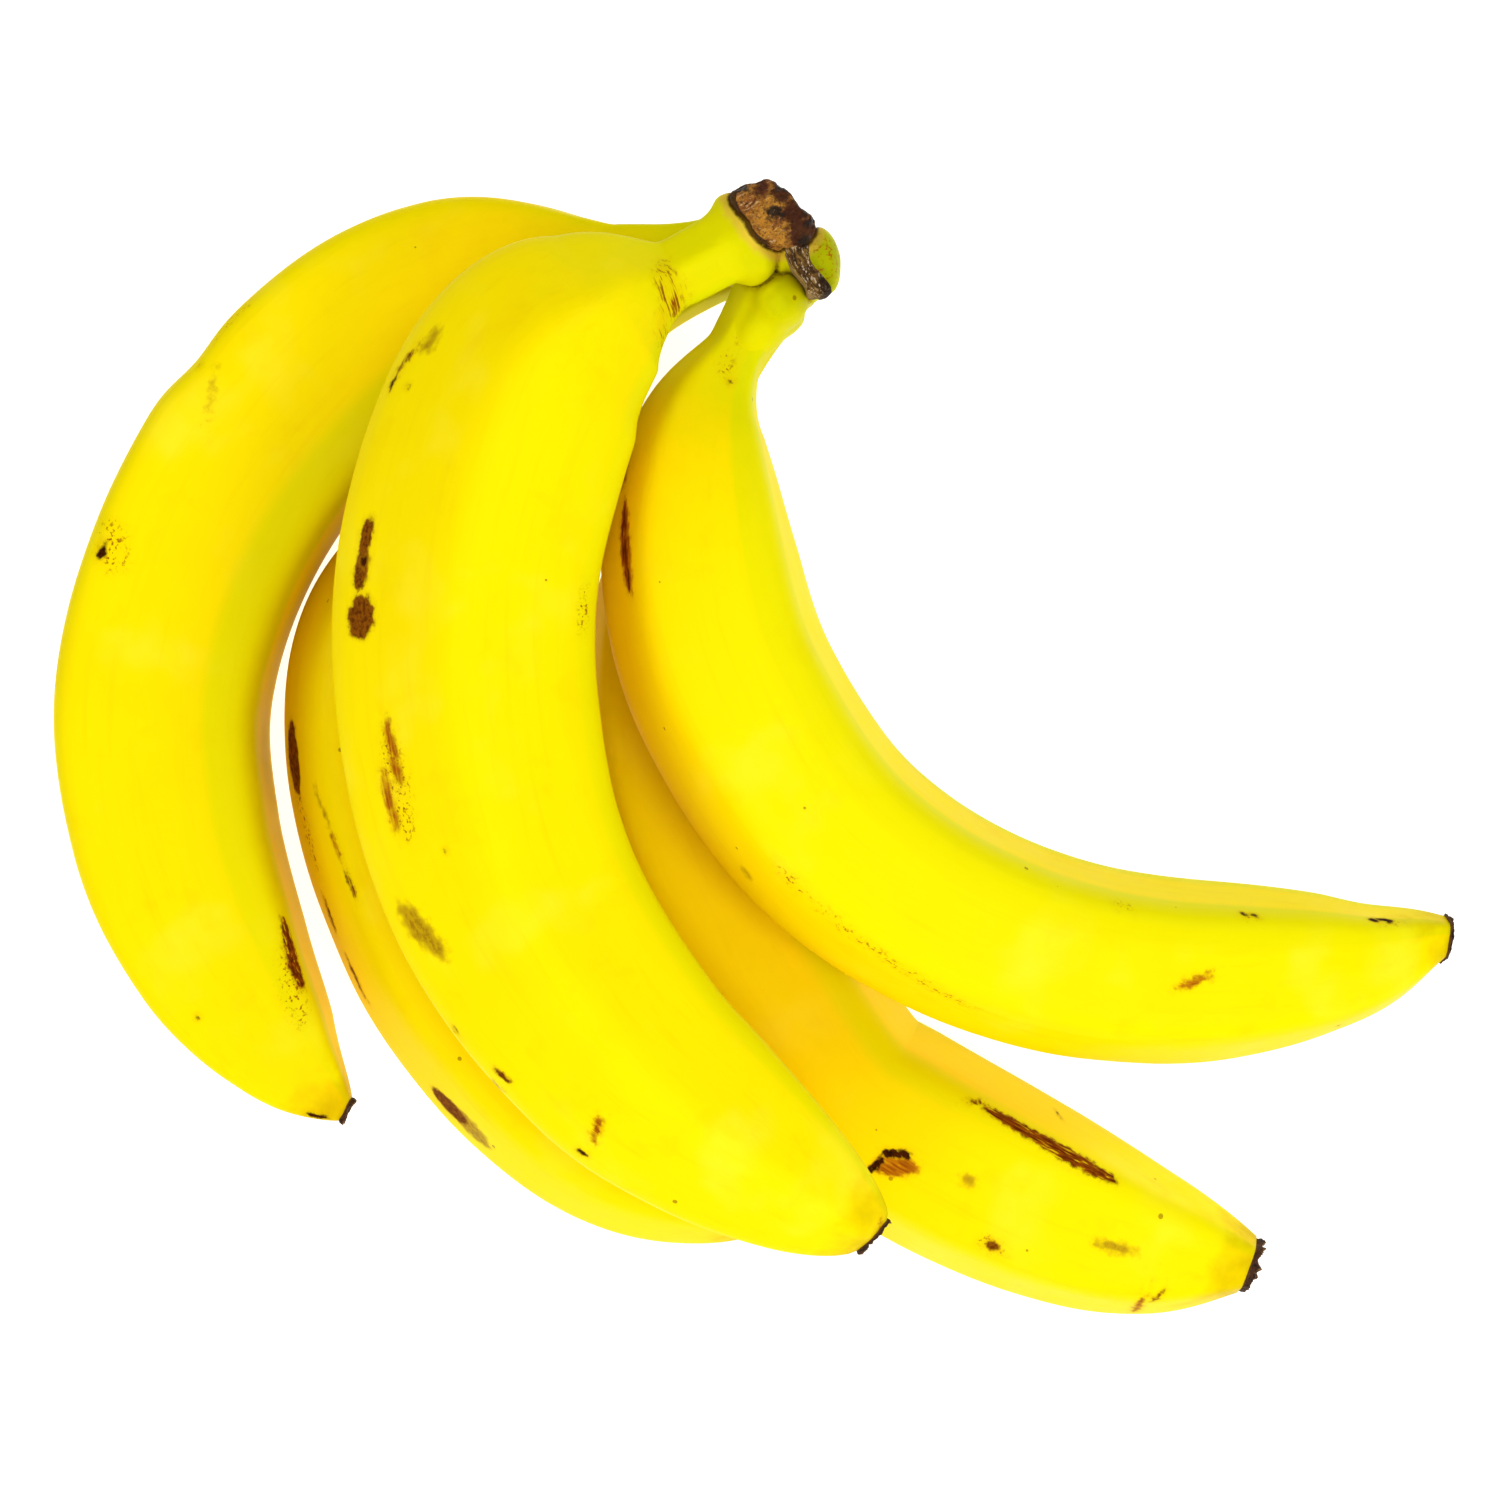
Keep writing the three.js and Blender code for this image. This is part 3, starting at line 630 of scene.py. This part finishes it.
def dress_crown(mesh, gaps):
    """Gives the crown its unevenness, and the numbers that its skin's material reads."""
    places = points_of(mesh)
    bumps = unevenness(places, CROWN_WAVES)
    local = places - CENTRING
    along = np.ones(len(places))
    for finger in FINGERS.values():
        start, forward, _, _, length = frames_along(finger["path"], np.zeros(1))
        from_start = local - start
        ahead = from_start @ forward[0]
        aside = np.linalg.norm(from_start - ahead[:, None] * forward, axis=1)
        on_neck = aside < half_width(finger, np.zeros(1)) * NECK_REACH
        along = np.where(on_neck, np.minimum(along, np.maximum(0, ahead) / length), along)
    along = np.where(along > SLEEVE_SHARE, 0, along)
    bumps = bumps * np.clip(1 - along / CROWN_WAVES_END, 0, 1)
    places = places + points_of(mesh, "normal") * bumps[:, None]
    mesh.vertices.foreach_set("co", (places * MM).ravel())
    store(mesh, "along", along)
    store(mesh, "ridge", np.zeros(len(places)))
    store(mesh, "room", np.full(len(places), float(PAINTED_SHADE_REACH)))
    store(mesh, "unbent", places * MM)
    store(mesh, "damage", np.zeros(len(places)))
    green = np.clip(1 - np.linalg.norm((local - GREEN_SPOT) / GREEN_SIZE, axis=1), 0, 1)
    for kind in BLEMISH_LOOKS:
        outside = np.full(len(places), float(BLEMISH_REACH))
        freckled = BLEMISH_REACH * (GREEN_FRECKLED - green)
        store(mesh, kind, freckled if kind == "freckles" else outside)
    store(mesh, "crease", np.minimum(gaps, BLEMISH_REACH))
    store(mesh, "green", green)
    rim, _ = closed_curve(SCAB["outline"])
    middle = np.mean(SCAB["outline"], axis=0)
    ring = rim[::RING_STEP, :2] - middle
    inside = np.vstack([middle + ring * share for share in SCAB_RINGS])
    from_scab = np.hypot(*(local[:, None, :2] - inside).transpose(2, 0, 1)).min(axis=1)
    store(mesh, "from_scab", np.where(local[:, 2] > SCAB["foot"], from_scab, BLEMISH_REACH))


# ---- Cuts ----
def closed_curve(outline):
    """A smooth closed curve through an outline's points, and the distances along it."""
    laps = np.vstack([outline] * 3)
    curve, lengths = middle_line(np.column_stack([laps, np.zeros(len(laps))]))
    steps = np.linspace(0, len(laps) - 1, len(curve))
    lap = (steps >= len(outline)) & (steps <= 2 * len(outline))
    curve = curve[lap]
    curve[-1] = curve[0]
    return curve, lengths[lap] - lengths[lap][0]


def plate_mesh(name, cut):
    """A dried plate: a rough swollen top inside its outline, on a foot sunk into the crown."""
    middle = np.mean(cut["outline"], axis=0)
    rim, lengths = closed_curve(cut["outline"])
    tops = {}

    def place(turn, step):
        edge = np.stack([np.interp(turn * lengths[-1], lengths, rim[:, k]) for k in range(2)], 1)
        share, rise = stations(PLATE_PROFILE, step)
        flat = middle + (edge - middle) * share[:, None]
        height = cut["foot"] + rise * (cut["top"] - cut["foot"])
        height = height + np.where(rise == 1, cut["bulge"] * (1 - share ** 2), 0)
        side = np.arctan2(*(edge - middle).T[::-1]) - np.radians(cut["terrace_side"])
        terrace = np.clip((share - cut["terrace_from"]) / TERRACE_RAMP, 0, 1)
        terrace = terrace * np.clip(TERRACE_WIDTH * np.cos(side), 0, 1)
        spots = np.column_stack([flat, height - cut["terrace"] * terrace])
        rough = unevenness(spots, cut["waves"])
        spots[:, 2] += rough * (rise > ROUGH_FROM)
        spots[:, :2] += (edge - middle) * (PLATE_RAGGED * rough * share)[:, None]
        tops.update(flat=flat, terrace=terrace)
        return spots

    mesh = wrapped_grid(name, 220, 121, place)
    store(mesh, "terrace", tops["terrace"])
    for patch in ("charred", "rusty"):
        nearest = [np.hypot(*(tops["flat"] - (x, y)).T) - radius for x, y, radius in cut[patch]]
        store(mesh, patch, np.clip(0.5 - np.min(nearest, axis=0) / PATCH_BLUR, 0, 1))
    weld(mesh)
    return mesh


def stalk_cut_mesh():
    """The long cut on the pad's far flank, which it follows: a rough face in a rounded frame."""
    pad_shares, pad_rises = np.array(PAD_PROFILE[:-2]).T
    rims = {}

    def place(turn, step):
        angle = 2 * np.pi * turn
        share, rise = stations(STALK_CUT_PROFILE, step)
        power = STALK_CUT["squareness"]
        square = (abs(np.cos(angle)) ** power + abs(np.sin(angle)) ** power) ** (-1 / power)
        w = share * square * np.sin(angle) * STALK_CUT["height"] / 2
        flank = np.interp(0.5 + w / (PAD["top"] - PAD["bottom"]), pad_rises, pad_shares)
        u = flank * share * square * np.cos(angle) * STALK_CUT["length"] / 2
        rough = unevenness(np.stack([u, w, rise], 1), STALK_CUT["waves"])
        rough = rough * (rise > STALK_CUT["rough_from"])
        v = flank * PAD["half_width"] - STALK_CUT["sunk"] + rise * STALK_CUT["thickness"]
        v = v + STALK_CUT["roughness"] * rough
        rims["rim"] = np.maximum(share, 1 - rise)
        return on_pad(u, v, (PAD["bottom"] + PAD["top"]) / 2 + w)

    mesh = wrapped_grid("stalk_cut", 160, 90, place)
    store(mesh, "rim", rims["rim"])
    weld(mesh)
    return mesh


def add_piece(mesh, node, material):
    """Puts a finished mesh in the place of a solid."""
    piece = bpy.data.objects.new(mesh.name, mesh)
    bpy.context.scene.collection.objects.link(piece)
    mesh.materials.append(material)
    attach(piece, "root")
    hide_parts(node)


# ---- Materials ----
def add_node(tree, kind, inputs=None, **settings):
    """Adds a shader node with its settings; each input is a value or the output that feeds it."""
    node = tree.nodes.new(kind)
    for key, value in settings.items():
        setattr(node, key, value)
    for key, value in (inputs or {}).items():
        if isinstance(value, bpy.types.NodeSocket):
            tree.links.new(value, node.inputs[key])
        else:
            node.inputs[key].default_value = value
    return node


def new_material(name, **uniform):
    """A material and its shader; what is the same all over it is set on the shader's sockets."""
    material = bpy.data.materials.new(name)
    material.use_nodes = True
    shader = material.node_tree.nodes["Principled BSDF"]
    for key, value in uniform.items():
        shader.inputs[key.replace("_", " ")].default_value = value
    return material, material.node_tree, shader


def grain(tree, place, size, stretch=(1, 1, 1), turn=0, detail=3):
    """Noise from 0 to 1 whose features have a size in mm, drawn out along axes that are turned."""
    laid = add_node(tree, "ShaderNodeMapping", {
        "Vector": place, "Rotation": (0, 0, np.radians(turn)), "Scale": stretch},
        vector_type="TEXTURE")
    return add_node(tree, "ShaderNodeTexNoise", {
        "Vector": laid.outputs["Vector"], "Scale": 1 / (size * MM), "Detail": detail,
        "Roughness": 0.6}).outputs["Fac"]


def layer(tree, colour, driver, none, full, strength, tint):
    """The colour under a tint, whose strength grows as the driver goes from none to full."""
    share = add_node(tree, "ShaderNodeMapRange", {
        "Value": driver, "From Min": none, "From Max": full, "To Max": strength},
        interpolation_type="SMOOTHSTEP")
    return add_node(tree, "ShaderNodeMix", {
        0: share.outputs["Result"], 6: colour, 7: linear(tint)}, data_type="RGBA").outputs[2]


def ragged(tree, attribute, noise_value, reach):
    """A stored number, moved up and down by noise as far as the reach."""
    stored = add_node(tree, "ShaderNodeAttribute", attribute_name=attribute)
    centred = add_node(tree, "ShaderNodeMath", {
        0: noise_value, 1: 2 * reach, 2: -reach}, operation="MULTIPLY_ADD")
    return add_node(tree, "ShaderNodeMath", {
        0: stored.outputs["Fac"], 1: centred.outputs[0]}, operation="ADD").outputs[0]


def finish(tree, shader, colour, height, depth, strength):
    """Joins the colour and the relief, whose depth is in mm, to the shader."""
    tree.links.new(colour, shader.inputs["Base Color"])
    bump = add_node(tree, "ShaderNodeBump", {
        "Height": height, "Strength": strength, "Distance": depth * MM})
    tree.links.new(bump.outputs["Normal"], shader.inputs["Normal"])


# Each kind of blemish: its colour and the darker colour in its grain, how soft its edge is and how
# far that wanders, in mm, the share that its grain leaves bare, the grain, and its halo's strength
BLEMISH_LOOKS = {
    "stain": dict(colour="#BC980A", dark="#9C7408", soft=0.9, wander=1.6, bare=0.2, grain="specks",
                  halo=0),
    "freckles": dict(colour="#B87C06", dark="#9A5806", soft=1.2, wander=1.8, bare=0.6,
                     grain="specks", halo=0.1),
    "smear": dict(colour="#B87008", dark="#904804", soft=0.6, wander=1.2, bare=0.3, grain="fibres",
                  halo=0.25),
    "streak": dict(colour="#8A4406", dark="#4E1E02", soft=0.4, wander=1, bare=0.36,
                   grain="fibres", halo=0.25),
    "crack": dict(colour="#B07406", dark="#8A4A06", soft=1.2, wander=1.8, bare=0.57,
                  grain="rings", halo=0.25),
    "bruise": dict(colour="#844A06", dark="#5A2A02", soft=0.3, wander=0.9, bare=0, grain="specks",
                   halo=0.4),
    "black": dict(colour="#421A04", dark="#200A00", soft=0.25, wander=0.7, bare=0, grain="specks",
                  halo=0.3),
}
PINPRICK_SPACING = 6
HALO_REACH = 0.7  # how far a halo goes past the soft edge, in mm
BARE_EDGE = 0.06  # how sharply the grain leaves a blemish bare
# Layers on the crown's skin: a stored number, how far noise moves it, the values where the layer
# starts and is full, its strength and its colour
CROWN_LAYERS = [
    ("green", 0.25, 0.05, 0.6, 0.9, "#93A000"),
    # The two crease layers are painted shade: the skin darkens towards the creases where the
    # crown's bodies press together
    ("crease", 0.5, 1.3, 0.3, 0.35, "#B09008"),
    ("crease", 0.3, 0.45, 0.1, 0.7, "#4A2C06"),
    ("from_scab", 0.8, 2.2, 0.9, 0.6, "#D8A840"),
    ("from_scab", 0.3, 0.7, 0.2, 0.95, "#3E2008"),
]


def ripe_peel(name, layers=()):
    """Smooth waxy peel: saturated yellow with a soft sheen, slow pale clouds and fine strands along
    the finger, greener at the neck, brown where it was rubbed or knocked, and a deeper golden
    painted shade where other fingers come near."""
    material, tree, shader = new_material(name, Specular_IOR_Level=0.015)
    unbent = add_node(tree, "ShaderNodeAttribute", attribute_name="unbent").outputs["Vector"]
    ridge = add_node(tree, "ShaderNodeAttribute", attribute_name="ridge").outputs["Fac"]
    room = add_node(tree, "ShaderNodeAttribute", attribute_name="room").outputs["Fac"]
    wander = grain(tree, unbent, 7)
    edge = grain(tree, unbent, 1.2)
    strands = grain(tree, unbent, 1.5, stretch=(1, 1, 20), detail=4)
    grains = {"specks": grain(tree, unbent, 0.6, detail=2),
              "fibres": grain(tree, unbent, 0.4, stretch=(1, 1, 9), detail=2),
              "rings": grain(tree, unbent, 0.5, stretch=(8, 1, 1), turn=150, detail=2)}

    # Slow clouds, fine strands, painted shade near other fingers and green ridges: the driver,
    # where it starts and is full, strength and colour
    colour = linear("#F7DE00")
    for driver, none, full, strength, tint in (
            (grain(tree, unbent, 38), 0.45, 0.75, 0.5, "#F6D200"),
            (grain(tree, unbent, 22), 0.52, 0.72, 0.5, "#FCE630"),
            (grain(tree, unbent, 9), 0.56, 0.74, 0.3, "#F2CC00"),
            (strands, 0.5, 0.8, 0.2, "#E6C000"),
            # Painted shade: the peel turns deeper golden where other fingers come near
            (room, 24, 3, 0.5, "#F8CE00"),
            (ridge, 0.05, 0.13, 0.5, "#CED600")):
        colour = layer(tree, colour, driver, none, full, strength, tint)

    # Green that is left at the neck, and olive at the very tip, by the place along the finger
    along = ragged(tree, "along", wander, 0.045)
    for none, full, strength, tint in ((0.2, 0.03, 0.75, "#CFD000"), (0.04, -0.05, 0.6, "#A4AC00"),
                                       (0.955, 1.02, 0.7, "#B89000")):
        colour = layer(tree, colour, along, none, full, strength, tint)
    for attribute, reach, none, full, strength, tint in layers:
        driver = ragged(tree, attribute, edge, reach)
        colour = layer(tree, colour, driver, none, full, strength, tint)

    # Pinpricks: tiny brown dots, missing from most cells of the mesh that they are strewn in
    cells = add_node(tree, "ShaderNodeTexVoronoi", {
        "Vector": unbent, "Scale": 1 / (PINPRICK_SPACING * MM)})
    chosen = add_node(tree, "ShaderNodeSeparateColor", {"Color": cells.outputs["Color"]})
    size = add_node(tree, "ShaderNodeMapRange", {
        "Value": chosen.outputs["Red"], "From Min": 0.72, "From Max": 1, "To Max": 0.085})
    pricked = add_node(tree, "ShaderNodeMath", {
        0: cells.outputs["Distance"], 1: size.outputs["Result"]}, operation="LESS_THAN")
    colour = layer(tree, colour, pricked.outputs[0], 0, 1, 0.7, "#8A5A06")

    # Blemishes, from the faintest to the darkest, each over its halo
    for kind, look in BLEMISH_LOOKS.items():
        field = ragged(tree, kind, edge, look["wander"])
        colour = layer(tree, colour, field, look["soft"] + HALO_REACH, -look["soft"], look["halo"],
                       "#C89008")
        inside = add_node(tree, "ShaderNodeMapRange", {
            "Value": field, "From Min": look["soft"], "From Max": -look["soft"]},
            interpolation_type="SMOOTHSTEP")
        kept = add_node(tree, "ShaderNodeMapRange", {
            "Value": grains[look["grain"]], "From Min": look["bare"] - BARE_EDGE,
            "From Max": look["bare"] + BARE_EDGE, "To Max": inside.outputs["Result"]})
        tone = layer(tree, linear(look["colour"]), grains[look["grain"]], 0.4, 0.65, 1,
                     look["dark"])
        colour = add_node(tree, "ShaderNodeMix", {
            0: kept.outputs["Result"], 6: colour, 7: tone}, data_type="RGBA").outputs[2]

    # Sheen: the wax is a little uneven, and gone where the peel is damaged
    damage = add_node(tree, "ShaderNodeAttribute", attribute_name="damage").outputs["Fac"]
    gloss = add_node(tree, "ShaderNodeMapRange", {
        "Value": wander, "From Min": 0.3, "From Max": 0.7, "To Min": 0.38, "To Max": 0.48})
    dulled = add_node(tree, "ShaderNodeMath", {
        0: damage, 1: 0.25, 2: gloss.outputs["Result"]}, operation="MULTIPLY_ADD")
    tree.links.new(dulled.outputs[0], shader.inputs["Roughness"])

    # Relief: strands, and the wrinkles of dried spots
    wrinkled = add_node(tree, "ShaderNodeMath", {0: damage, 1: edge}, operation="MULTIPLY")
    height = add_node(tree, "ShaderNodeMath", {
        0: wrinkled.outputs[0], 1: 1.5, 2: strands}, operation="MULTIPLY_ADD")
    finish(tree, shader, colour, height.outputs[0], 0.25, 0.25)
    return material


def corky_scab():
    """Healed cork: tan with fine dark pits and pale scratches, rusty on one side, with charred and
    glossy patches that carry small painted highlights as pale specks, and a dark lower edge."""
    material, tree, shader = new_material("corky_scab_matt", Specular_IOR_Level=0.2)
    place = add_node(tree, "ShaderNodeTexCoord").outputs["Object"]
    middling, fine = grain(tree, place, 1.3), grain(tree, place, 0.45, detail=4)
    scratches = grain(tree, place, 0.35, stretch=(6, 1, 1), turn=35, detail=1)
    charred = ragged(tree, "charred", middling, 0.9)
    colour = linear("#BE8228")
    for driver, none, full, strength, tint in (
            (grain(tree, place, 3), 0.42, 0.62, 1, "#8A5220"),
            (fine, 0.53, 0.65, 0.75, "#3E1E0A"),
            (fine, 0.42, 0.34, 0.6, "#D09A40"),
            (scratches, 0.62, 0.68, 0.6, "#D8B078"),
            (ragged(tree, "rusty", middling, 0.8), 0.15, 0.8, 0.95, "#421A06"),
            (charred, 0.15, 0.75, 0.94, "#1A1006"),
            (ragged(tree, "terrace", fine, 0.5), 0.3, 0.7, 0.9, "#2A160A")):
        colour = layer(tree, colour, driver, none, full, strength, tint)
    # Painted highlights: pale specks in the charred patches stand in for the shine of their gloss
    painted_highlight_specks = add_node(tree, "ShaderNodeMath", {0: charred, 1: fine}, operation="MULTIPLY")
    colour = layer(tree, colour, painted_highlight_specks.outputs[0], 0.66, 0.76, 0.6, "#A89C70")
    smooth = add_node(tree, "ShaderNodeMapRange", {
        "Value": charred, "From Min": 0.3, "From Max": 0.7, "To Min": 0.7, "To Max": 0.38})
    tree.links.new(smooth.outputs["Result"], shader.inputs["Roughness"])
    height = add_node(tree, "ShaderNodeMath", {
        0: middling, 1: 1.5, 2: fine}, operation="MULTIPLY_ADD")
    finish(tree, shader, colour, height.outputs[0], 0.6, 0.9)
    return material


def torn_fibres():
    """Torn tissue: dull brown with short pale fibres that lie along the tear."""
    material, tree, shader = new_material("torn_fibres_matt", Roughness=0.8, Specular_IOR_Level=0.1)
    place = add_node(tree, "ShaderNodeTexCoord").outputs["Object"]
    fibres = grain(tree, place, 0.35, stretch=(6, 1, 1), turn=-50, detail=2)
    pale_fibres = grain(tree, place, 0.3, stretch=(5, 1, 1), turn=-75, detail=1)
    colour = linear("#80602C")
    for driver, none, full, strength, tint in (
            (grain(tree, place, 2.2), 0.4, 0.62, 1, "#4E3418"),
            (fibres, 0.5, 0.42, 0.75, "#301C0A"),
            (pale_fibres, 0.58, 0.66, 0.8, "#C8B498"),
            (ragged(tree, "terrace", fibres, 0.5), 0.3, 0.7, 0.5, "#B09060"),
            (ragged(tree, "charred", fibres, 0.5), 0.3, 0.6, 0.9, "#1E120A")):
        colour = layer(tree, colour, driver, none, full, strength, tint)
    finish(tree, shader, colour, fibres, 0.5, 0.9)
    return material


def dried_stalk_cut():
    """A dried cut face: brown, with dark strands and a darker shrunken edge."""
    material, tree, shader = new_material(
        "dried_cut_fibrous", Roughness=0.85, Specular_IOR_Level=0.2)
    place = add_node(tree, "ShaderNodeTexCoord").outputs["Object"]
    rim = add_node(tree, "ShaderNodeAttribute", attribute_name="rim").outputs["Fac"]
    fine = grain(tree, place, 0.6, stretch=(1, 1, 4))
    colour = linear("#8A6038")
    for driver, none, full, strength, tint in (
            (grain(tree, place, 5), 0.4, 0.62, 1, "#5A3A1E"),
            (fine, 0.52, 0.66, 0.7, "#38200E"),
            (grain(tree, place, 0.5, stretch=(1, 1, 9), detail=1), 0.6, 0.68, 0.6, "#C09A68"),
            (rim, 0.75, 0.95, 0.85, "#2E1A0C")):
        colour = layer(tree, colour, driver, none, full, strength, tint)
    finish(tree, shader, colour, fine, 0.4, 0.8)
    return material


def dried_flower_crust():
    """Shrivelled black-brown crust with a paler worn rim, fine as paper ash."""
    material, tree, shader = new_material(
        "dried_flower_crust", Roughness=0.75, Specular_IOR_Level=0.2)
    place = add_node(tree, "ShaderNodeTexCoord").outputs["Object"]
    fine = grain(tree, place, 0.35)
    colour = linear("#3E2410")
    for driver, none, full, strength, tint in (
            (grain(tree, place, 1.2), 0.45, 0.6, 0.9, "#160E08"),
            (ragged(tree, "rim", fine, 0.8), 0.75, 1.1, 0.8, "#8A6034"),
            (ragged(tree, "rim", fine, 0.5), 0.3, 0.0, 0.7, "#6A4410")):
        colour = layer(tree, colour, driver, none, full, strength, tint)
    finish(tree, shader, colour, fine, 0.3, 0.8)
    return material


def glowing_table():
    """The diffusing white sheet of a light table: matt, and lit from below."""
    material, _, shader = new_material(
        "diffusing_white_sheet", Roughness=0.9, Emission_Strength=FLOOR_GLOW)
    shader.inputs["Base Color"].default_value = linear("#BCBCBC")
    shader.inputs["Emission Color"].default_value = linear("#FFFFFF")
    return material


# ---- Pieces ----
draw = random.Random(SEED)
peel = ripe_peel("ripe_banana_peel_waxy")
crust = dried_flower_crust()
for name in FINGERS:
    add_piece(finger_mesh(name, draw), f"finger_{name}", peel)
    add_piece(crust_mesh(name), f"blossom_{name}", crust)
add_piece(crown_mesh(), "crown", ripe_peel("green_crown_skin_waxy", CROWN_LAYERS))
add_piece(plate_mesh("scab", SCAB), "crown_scab", corky_scab())
add_piece(plate_mesh("torn_strip", TORN_STRIP), "crown_fibres", torn_fibres())
add_piece(stalk_cut_mesh(), "crown_stalk_cut", dried_stalk_cut())

# ---- Floor, light and camera ----
FLOOR_SIZE = 6000
FLOOR_GLOW = 0.85
CAMERA_HEIGHT = 640
LENS = 92.2
SENSOR = 36
WORLD_GLOW = 0.16
SOFTBOX_SIZE = 500
SOFTBOXES = {  # place, and power in watts; each faces the middle of the floor
    "overhead": ((60, 60, 1100), 2.7),
    "front_right": ((550, -450, 850), 4.5),
    "back_right": ((650, 550, 700), 3.9),
    "front": ((0, -900, 600), 2.6),
    "left": ((-900, 0, 600), 1.9),
    "front_left": ((-550, -550, 800), 2.7),
    "back_left": ((-550, 550, 800), 0.6),
}


def add_floor():
    """The light table that the bunch lies on."""
    mesh = bpy.data.meshes.new("floor")
    bm = bmesh.new()
    bmesh.ops.create_grid(bm, x_segments=1, y_segments=1, size=FLOOR_SIZE / 2 * MM)
    bm.to_mesh(mesh)
    bm.free()
    floor = bpy.data.objects.new("floor", mesh)
    bpy.context.scene.collection.objects.link(floor)
    mesh.materials.append(glowing_table())


def add_softbox(name, place, power):
    """A square softbox that faces the middle of the floor."""
    data = bpy.data.lights.new(f"softbox_{name}", "AREA")
    data.size = SOFTBOX_SIZE * MM
    data.energy = power
    light = bpy.data.objects.new(data.name, data)
    light.location = Vector(place) * MM
    light.rotation_euler = (-Vector(place)).to_track_quat("-Z", "Y").to_euler()
    bpy.context.scene.collection.objects.link(light)


def add_camera():
    """Looks straight down on the middle of the bunch."""
    data = bpy.data.cameras.new("camera")
    data.sensor_width = SENSOR
    data.lens = LENS
    camera = bpy.data.objects.new("camera", data)
    camera.location = (CENTRING[0] * MM, CENTRING[1] * MM, CAMERA_HEIGHT * MM)
    bpy.context.scene.collection.objects.link(camera)
    bpy.context.scene.camera = camera


def add_world():
    """A white studio's even light from all round."""
    world = bpy.data.worlds.new("studio")
    world.use_nodes = True
    background = world.node_tree.nodes["Background"]
    background.inputs["Color"].default_value = linear("#FFFFFF")
    background.inputs["Strength"].default_value = WORLD_GLOW
    bpy.context.scene.world = world


add_floor()
add_camera()
add_world()
for name, (place, power) in SOFTBOXES.items():
    add_softbox(name, place, power)
bpy.context.scene.view_settings.view_transform = "Standard"
